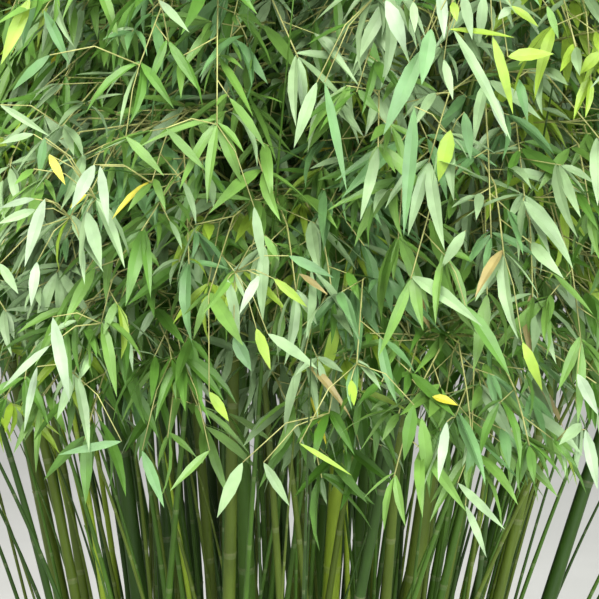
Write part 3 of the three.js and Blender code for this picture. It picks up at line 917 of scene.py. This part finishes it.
def leaves_in_view(foliage):
    """The leaves of the list, each on a short twig from the end of a twig that is there."""
    ends = np.array(foliage.fans)[:, :3]
    depth = seen(ends)[2]
    rows = []
    for number, (x0, y0, x1, y1, breadth, kind) in enumerate(LEAVES_IN_VIEW):
        roots = place_in_view(x0 / 1000, y0 / 1000, depth[:, None])
        gap = np.linalg.norm(roots - ends, axis=1)
        cost = gap + SHOWN_DEPTH_WEIGHT * depth
        best = np.argmin(np.where(gap < SHOWN_REACH, cost, np.inf))
        end, front = ends[best], depth[best] - SHOWN_FORWARD
        root = place_in_view(x0 / 1000, y0 / 1000, front)
        tip = place_in_view(x1 / 1000, y1 / 1000, front - pick(SHOWN_TIP_FORWARD, number, 60))
        bow = UP * gap[best] * SHOWN_BOW
        foliage.bowed_twiglets.append(np.stack([end, mix(end, root, 0.5) + bow, root]))
        heading = unit(tip - root)
        face = unit(mix(UP, -FORWARD, pick(SHOWN_TO_VIEWER, number, 61)))
        face = unit(face - heading * (face @ heading))
        length = np.linalg.norm(tip - root)
        bend = pick(SHOWN_BEND, number, 62)
        fold = pick(SHOWN_FOLD, number, 63)
        twist = pick(SHOWN_TWIST, number, 64)
        rows.append((KIND_NUMBER[kind], root, heading, face, length, breadth, bend, fold, twist))
    columns = [np.array(column) for column in zip(*rows)]
    return columns[0], columns[1:]


def spread_leaves(fans, kinds):
    """The leaves of every fan, to both sides by turns, the first one straight on."""
    fans = np.array(fans)
    counts = fans[:, 6].astype(int)
    fan = np.repeat(np.arange(len(fans)), counts)
    n = np.arange(len(fan)) - np.repeat(np.cumsum(counts) - counts, counts)
    tip, on, spray = fans[fan, 0:3], fans[fan, 3:6], fans[fan, 7].astype(int)
    side = unit(np.cross(on, UP))
    spread = np.where(n == 0, FIRST_SPREAD, pick(LEAF_SPREAD, fan, n, 11))
    spread = spread * np.where((n + fan) % 2, 1, -1)
    fall = pick(LEAF_FALL, fan, n, 12)[:, None]
    heading = unit(on * np.cos(spread)[:, None] + side * np.sin(spread)[:, None] - UP * fall)
    root = tip - on * np.where(n == 0, 0, mix(*LEAF_STEP, n / counts[fan]))[:, None]
    # The face is turned mostly to the sky, or outwards on a leaf that hangs.
    outward = unit(heading * np.array([1, 1, 0]) + UP * 0.02)
    reference = np.where(np.abs(heading[:, 2:]) < HANGING, UP, outward)
    face = unit(reference - heading * np.sum(reference * heading, axis=1)[:, None])
    roll_over = pick(LEAF_ROLL, fan, n, 13)[:, None]
    face = face * np.cos(roll_over) + np.cross(heading, face) * np.sin(roll_over)
    length = LEAF_LENGTH * pick(LEAF_SIZE, fan, n, 14)
    width = LEAF_WIDTH * pick(LEAF_BREADTH, fan, n, 15) * (length / LEAF_LENGTH) ** 0.5
    bend = mix(*LEAF_BEND, roll(fan, n, 16) ** LEAF_BEND_POWER)
    fold = pick(LEAF_FOLD, fan, n, 17)
    twist = pick(LEAF_TWIST, fan, n, 18)
    kind = picked(SINGLE_LEAVES, roll(fan, n, 31), kinds[spray])
    return kind, (root, heading, face, length, width, bend, fold, twist)


foliage = Foliage()
for cane in canes:
    for branch_number, (line, sprays) in enumerate(grow_cane(cane)):
        if line is not None:
            foliage.branches.append(along(line, np.linspace(0, 1, BRANCH_STATIONS)))
        for spray_number, spray in enumerate(sprays):
            foliage.spray(spray, (cane.index, branch_number, spray_number))

spray_tips = np.array([twig[-1] for twig in foliage.twigs])
kinds = spray_kinds(spray_tips, np.arange(len(spray_tips)))
spread_kinds, spread_columns = spread_leaves(foliage.fans, kinds)
shown_kinds, shown_columns = leaves_in_view(foliage)
leaf_kinds = np.concatenate([spread_kinds, shown_kinds])
leaf_columns = [np.concatenate(pair) for pair in zip(spread_columns, shown_columns)]


# Materials. Their colours vary with noise, from dark to light between these two places of its range.
RAMP_PLACES = (0.3, 0.7)


def new_material(name, colour, roughness):
    material = bpy.data.materials.new(name)
    material.use_nodes = True
    shader = material.node_tree.nodes["Principled BSDF"]
    shader.inputs["Base Color"].default_value = (*colour, 1)
    shader.inputs["Roughness"].default_value = roughness
    return material, material.node_tree, shader


def add_node(tree, kind, **values):
    node = tree.nodes.new(kind)
    for key, value in values.items():
        if key in node.inputs:
            node.inputs[key].default_value = value
        else:
            setattr(node, key, value)
    return node


def varied_colour(tree, shader, colour, factor, amount):
    """The base colour, made darker and lighter by a factor from 0 to 1."""
    ramp = tree.nodes.new("ShaderNodeValToRGB")
    for stop, place, change in zip(ramp.color_ramp.elements, RAMP_PLACES, (1 - amount, 1 + amount)):
        stop.position = place
        stop.color = (*(min(1, part * change) for part in colour), 1)
    tree.links.new(factor, ramp.inputs["Fac"])
    tree.links.new(ramp.outputs["Color"], shader.inputs["Base Color"])
    return ramp


def noise_on(tree, stretch=None, **values):
    """Noise that stays with its object, with a scale of its own along each axis if need be."""
    place = add_node(tree, "ShaderNodeTexCoord").outputs["Object"]
    if stretch:
        mapping = add_node(tree, "ShaderNodeMapping", Scale=stretch)
        tree.links.new(place, mapping.inputs["Vector"])
        place = mapping.outputs["Vector"]
    noise = add_node(tree, "ShaderNodeTexNoise", **values)
    tree.links.new(place, noise.inputs["Vector"])
    return noise.outputs["Fac"]


def bumped(tree, shader, height, strength, distance):
    bump = add_node(tree, "ShaderNodeBump", Strength=strength, Distance=distance)
    tree.links.new(height, bump.inputs["Height"])
    tree.links.new(bump.outputs["Normal"], shader.inputs["Normal"])


def leaf_material(kind, colour):
    """A glossy blade with fine veins along it."""
    material, tree, shader = new_material(f"leaf_{kind}", colour, roughness=0.4)
    shader.inputs["Specular IOR Level"].default_value = 0.55
    place = add_node(tree, "ShaderNodeUVMap", uv_map="UVMap")
    veins = add_node(tree, "ShaderNodeTexWave", Scale=5.0, Distortion=0.6, Detail=1.0)
    veins.bands_direction = "X"
    tree.links.new(place.outputs["UV"], veins.inputs["Vector"])
    varied_colour(tree, shader, colour, noise_on(tree, Scale=26.0, Detail=3.0), amount=0.28)
    bumped(tree, shader, veins.outputs["Fac"], strength=0.25, distance=0.0004)
    return material


def cane_material(name, colour, amount=0.22):
    material, tree, shader = new_material(name, colour, roughness=0.5)
    shader.inputs["Specular IOR Level"].default_value = 0.3
    streaks = noise_on(tree, stretch=(60, 60, 5), Scale=1.0, Detail=5.0, Roughness=0.6)
    varied_colour(tree, shader, colour, streaks, amount)
    bumped(tree, shader, streaks, strength=0.2, distance=0.0006)
    return material


CANE_COLOURS = {
    "green": (0.058, 0.135, 0.012),
    "olive": (0.088, 0.135, 0.012),
    "dark": (0.030, 0.074, 0.008),
    "bright": (0.250, 0.360, 0.025),
}
CANE_SHARES = {"green": 0.34, "olive": 0.30, "dark": 0.30, "bright": 0.06}
# The pale colour mixed into a cane's own, and its share, below the nodes and on their scars.
BLOOM = ((0.45, 0.52, 0.32), 0.10)
SCAR = ((0.42, 0.40, 0.24), 0.16)
# The photograph's most distinct canes: how far across each one stands at this level of the picture,
# and its colour. Canes deeper than the front ones count as further across.
CANE_LEVEL = 0.85
CANE_FRONT = 2400
CANE_PLACES = np.linspace(0.2, 0.8, 60)
CANES_IN_VIEW = ((0.112, "dark"), (0.162, "bright"), (0.245, "bright"), (0.925, "bright"), (0.415, "olive"))


def paled(colour, pale, share):
    return [mix(*pair, share) for pair in zip(colour, pale)]


def cane_materials(name, colour):
    """A cane's skin, the bloom below its nodes, and the scars that ring them."""
    return (
        cane_material(f"cane_{name}", colour),
        cane_material(f"cane_{name}_bloom", paled(colour, *BLOOM), amount=0.15),
        cane_material(f"cane_{name}_scar", paled(colour, *SCAR), amount=0.2),
    )


def cane_colours():
    """The colour of each cane by chance, and of those in view by where they stand in the picture."""
    names, limits = list(CANE_SHARES), np.cumsum(list(CANE_SHARES.values()))
    chosen = {}
    for cane in canes + slim_shoots:
        chosen[cane] = names[np.searchsorted(limits, roll(cane.index, 50), side="right")]
    for across, name in CANES_IN_VIEW:
        is_slim = name == "bright"
        fitting = [cane for cane in canes if (cane.radius < CULM_THIN) == is_slim]
        chosen[min(fitting, key=lambda cane: abs(cane_across(cane) - across))] = name
    return chosen


def cane_across(cane):
    """How far across the picture a cane stands at that level, and more the deeper it stands."""
    across, down, depth = seen(cane.point(CANE_PLACES))
    nearest = np.argmin(np.abs(down - CANE_LEVEL))
    return across[nearest] + (depth[nearest] - CANE_FRONT) / CANE_FRONT


skins = {name: cane_materials(name, colour) for name, colour in CANE_COLOURS.items()}
twig_material = cane_material("twig_straw", (0.460, 0.470, 0.170), amount=0.35)
branch_material = cane_material("branch_green", (0.270, 0.320, 0.080), amount=0.3)

for cane, colour_name in cane_colours().items():
    replaced = (f"culm_{cane.name}",) if cane in culms else ()
    add_piece(cane_mesh(cane), skins[colour_name], replaced)


def add_tubes(name, lines, end_radii, sides, material):
    points = np.array(lines)
    radii = np.tile(np.linspace(*end_radii, points.shape[1]), (len(points), 1))
    corners = rings_along(points, radii, sides)
    faces = tube_faces(len(points), points.shape[1], sides)
    add_piece(make_mesh(name, corners.reshape(-1, 3), faces), (material,))


add_tubes("branches", foliage.branches, BRANCH_RADII, BRANCH_SIDES, branch_material)
add_tubes("twigs", foliage.twigs, TWIG_RADII, TWIG_SIDES, twig_material)
add_tubes("twiglets", foliage.twiglets, TWIGLET_RADII, TWIG_SIDES, twig_material)
add_tubes("bowed_twiglets", foliage.bowed_twiglets, TWIGLET_RADII, TWIG_SIDES, twig_material)

LEAVES_PER_PIECE = 12000
masses = [f"foliage_{cane.name}" for cane in culms if cane.is_leader]
for kind, colour in LEAF_KINDS.items():
    material = leaf_material(kind, colour)
    rows = np.flatnonzero(leaf_kinds == KIND_NUMBER[kind])
    for number, first in enumerate(range(0, len(rows), LEAVES_PER_PIECE)):
        chosen = rows[first : first + LEAVES_PER_PIECE]
        points, faces, places = leaf_surface(*[column[chosen] for column in leaf_columns])
        name = f"leaves_{kind}_{number + 1}"
        mesh = make_mesh(name, points, faces, uvs=places)
        add_piece(mesh, (material,), masses if name == "leaves_mid_1" else ())


# The pot and the soil.
POT_SIDES = 128
WALL_STATIONS = 60
WALL_RIPPLE = 0.5
WALL_RIPPLE_TURN = 120
LIP_STATIONS = 7
# Steps in and up from the rim's lower corner, and out and down from the lip's inner corner.
RIM_UNDERSIDE = ((6, 2), (1.5, 6), (0, 12))
LIP_INSIDE = ((RIM_ROUND, 0), (3.5, 2.5), (0, 9))
SOIL_SIDES = 160
SOIL_RINGS = 60
SOIL_MIDDLE = 2
POT_MIDDLE = 0.5
# Waves across the soil's top: how high each is, and how long.
SOIL_WAVES = ((2.6, 31), (1.7, 12.5), (1.4, 5.9), (0.9, 3.1))
SOIL_SHIFT = (1.3, 2.1)


def turned_mesh(name, profile, sides, lift=None):
    """A profile of (radius, height) pairs turned round the upright axis, its corners lifted if need be."""
    profile = np.array(profile, float)
    turn = np.arange(sides) * 2 * math.pi / sides
    ring = np.stack([np.cos(turn), np.sin(turn)], axis=-1)
    across = profile[:, None, :1] * ring[None]
    height = np.broadcast_to(profile[:, None, 1:], (len(profile), sides, 1))
    corners = np.concatenate([across, height], axis=-1)
    if lift is not None:
        corners[..., 2] += lift(corners[..., 0], corners[..., 1], corners[..., 2])
    return make_mesh(name, corners.reshape(-1, 3), tube_faces(1, len(profile), sides))


def pot_inner_radius(height):
    slope = (POT_SHOULDER_RADIUS - POT_FOOT_RADIUS) / (POT_HEIGHT - RIM_HEIGHT)
    return POT_FOOT_RADIUS - POT_WALL + slope * min(height, POT_HEIGHT - RIM_HEIGHT)


def pot_mesh():
    rim_outer = POT_SHOULDER_RADIUS + RIM_STEP
    rim_foot = POT_HEIGHT - RIM_HEIGHT
    wall = []
    for share in np.linspace(0, 1, WALL_STATIONS):
        ripple = WALL_RIPPLE * math.sin(share * WALL_RIPPLE_TURN)
        radius = mix(POT_FOOT_RADIUS, POT_SHOULDER_RADIUS, share) + ripple
        wall.append((radius, mix(FOOT_BEVEL, rim_foot, share)))
    lip = [
        (rim_outer - RIM_ROUND + RIM_ROUND * math.cos(a), POT_HEIGHT - RIM_ROUND + RIM_ROUND * math.sin(a))
        for a in np.linspace(0, math.pi / 2, LIP_STATIONS)
    ]
    inner = pot_inner_radius(POT_HEIGHT)
    profile = [
        (POT_FOOT_RADIUS - FOOT_BEVEL, 0),
        (POT_FOOT_RADIUS - FOOT_BEVEL / 3, FOOT_BEVEL / 3),
        *wall,
        *[(rim_outer - inwards, rim_foot + up) for inwards, up in RIM_UNDERSIDE],
        *lip,
        *[(inner + outwards, POT_HEIGHT - down) for outwards, down in LIP_INSIDE],
        (inner, rim_foot),
        (pot_inner_radius(POT_FLOOR), POT_FLOOR),
        (POT_MIDDLE, POT_FLOOR),
    ]
    return turned_mesh("clay_pot", profile, POT_SIDES)


CLAY = (0.42, 0.175, 0.085)
CLAY_LIGHT = (0.54, 0.29, 0.18)
COMPOST = (0.045, 0.028, 0.017)


def clay_material():
    material, tree, shader = new_material("fired_clay", CLAY, roughness=0.82)
    clouds = noise_on(tree, Scale=7.0, Detail=6.0, Roughness=0.65)
    ramp = varied_colour(tree, shader, CLAY, clouds, amount=0.3)
    ramp.color_ramp.elements[1].color = (*CLAY_LIGHT, 1)
    bumped(tree, shader, noise_on(tree, Scale=420.0, Detail=3.0), strength=0.25, distance=0.0006)
    return material


def soil_material():
    material, tree, shader = new_material("damp_compost", COMPOST, roughness=0.95)
    crumbs = noise_on(tree, Scale=160.0, Detail=6.0, Roughness=0.7)
    varied_colour(tree, shader, COMPOST, crumbs, amount=0.6)
    bumped(tree, shader, crumbs, strength=0.7, distance=0.003)
    return material


def soil_lift(x, y, height):
    """How far the crumbs at the soil's top stand up or down, and nothing below it."""
    waves = 0
    for size, scale in SOIL_WAVES:
        ahead, aside = np.array(SOIL_SHIFT) * size
        waves = waves + size * np.sin(x / scale + ahead) * np.sin(y / scale + aside)
    return np.where(height < SOIL_TOP, 0, waves)


def soil_mesh():
    """A disc of crumbs over a plain tub."""
    inner = pot_inner_radius(POT_HEIGHT) - 2 * TOUCH_GAP
    floor = POT_FLOOR + TOUCH_GAP
    profile = [
        (SOIL_MIDDLE, floor),
        (pot_inner_radius(floor) - 2 * TOUCH_GAP, floor),
        (inner, POT_HEIGHT - RIM_HEIGHT),
        *[(radius, SOIL_TOP) for radius in np.linspace(inner, SOIL_MIDDLE, SOIL_RINGS)],
    ]
    return turned_mesh("compost", profile, SOIL_SIDES, soil_lift)


add_piece(pot_mesh(), (clay_material(),), ("pot",))
add_piece(soil_mesh(), (soil_material(),), ("soil",))


# The floor, the lights and the camera.
FLOOR_REACH = 200000
FLOOR_DROP = 1
FLOOR_COLOUR = (0.52, 0.52, 0.50)
WORLD_COLOUR = (0.84, 0.85, 0.83, 1)
WORLD_STRENGTH = 1.02
# Each light's name, place, target and size in metres, its power in watts and its colour.
LIGHTS = (
    ("key", (-1.2, -3.2, 5.3), (0, 0, 1.8), 2.4, 245, (1.0, 0.98, 0.94)),
    ("fill", (2.2, -4.4, 2.6), (0, 0, 1.7), 3.0, 200, (0.94, 0.97, 1.0)),
    ("back", (0.6, 3.8, 4.4), (0, 0, 1.9), 2.6, 130, (1.0, 1.0, 0.96)),
)


def add_floor():
    outline = np.array([(-1, -1), (1, -1), (1, 1), (-1, 1)]) * FLOOR_REACH
    corners = np.column_stack([outline, np.full(len(outline), -FLOOR_DROP)])
    mesh = make_mesh("floor", corners, [np.array([[0, 1, 2, 3]])], smooth=False)
    floor = add_object("floor", mesh)
    material, tree, shader = new_material("pale_floor", FLOOR_COLOUR, roughness=0.9)
    varied_colour(tree, shader, FLOOR_COLOUR, noise_on(tree, Scale=3.0, Detail=4.0), amount=0.03)
    mesh.materials.append(material)


def aim(thing, target):
    direction = type(thing.location)(target) - thing.location
    thing.rotation_mode = "QUATERNION"
    thing.rotation_quaternion = direction.to_track_quat("-Z", "Y")


def add_light(name, place, target, size, power, colour):
    data = bpy.data.lights.new(name, "AREA")
    data.shape = "DISK"
    data.size = size
    data.energy = power
    data.color = colour
    light = add_object(name, data)
    light.location = place
    aim(light, target)


def add_world():
    world = bpy.data.worlds.new("studio")
    world.use_nodes = True
    background = world.node_tree.nodes["Background"]
    background.inputs["Color"].default_value = WORLD_COLOUR
    background.inputs["Strength"].default_value = WORLD_STRENGTH
    bpy.context.scene.world = world
    bpy.context.scene.view_settings.view_transform = "Standard"


def add_camera():
    data = bpy.data.cameras.new("camera")
    data.sensor_width = SENSOR_WIDTH
    data.lens = CAMERA_LENS
    camera = add_object("camera", data)
    camera.location = CAMERA_PLACE * METRE
    aim(camera, CAMERA_TARGET * METRE)
    bpy.context.scene.camera = camera


add_floor()
for light in LIGHTS:
    add_light(*light)
add_world()
add_camera()
